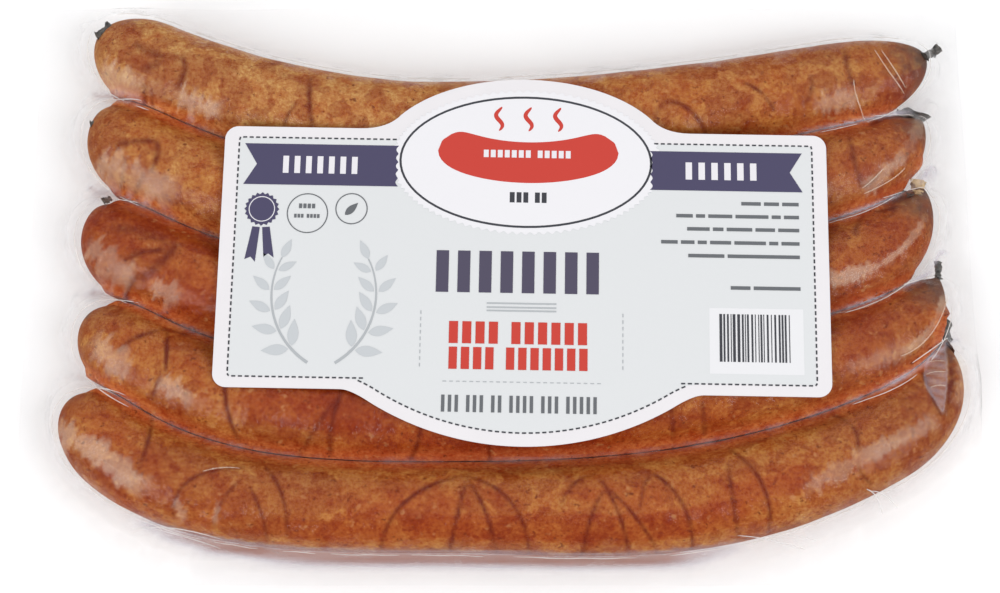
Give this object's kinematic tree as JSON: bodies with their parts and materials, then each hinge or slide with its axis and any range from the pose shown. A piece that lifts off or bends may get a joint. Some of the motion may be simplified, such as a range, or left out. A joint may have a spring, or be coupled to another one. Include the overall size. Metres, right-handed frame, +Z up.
{
  "type": "vacuum pack of smoked sausage links",
  "caption": "Clear vacuum pack of bowed smoked sausage links lying side by side, with a flat film margin all round and a die-cut printed label across the middle.",
  "frame": {"origin": "centre of the bag's outline, on the surface that the pack lies on", "axes": "+X along the links to the picture's right, +Y to the picture's top, +Z up out of the labelled side"},
  "size_m": [0.328, 0.205, 0.0302],
  "materials": {
    "film": "clear glossy film over orange-brown smoked casing",
    "label": "smooth coated white card with printed fields"
  },
  "bodies": {
    "root": {"pack": "film", "label": "label"}
  },
  "joints": []
}
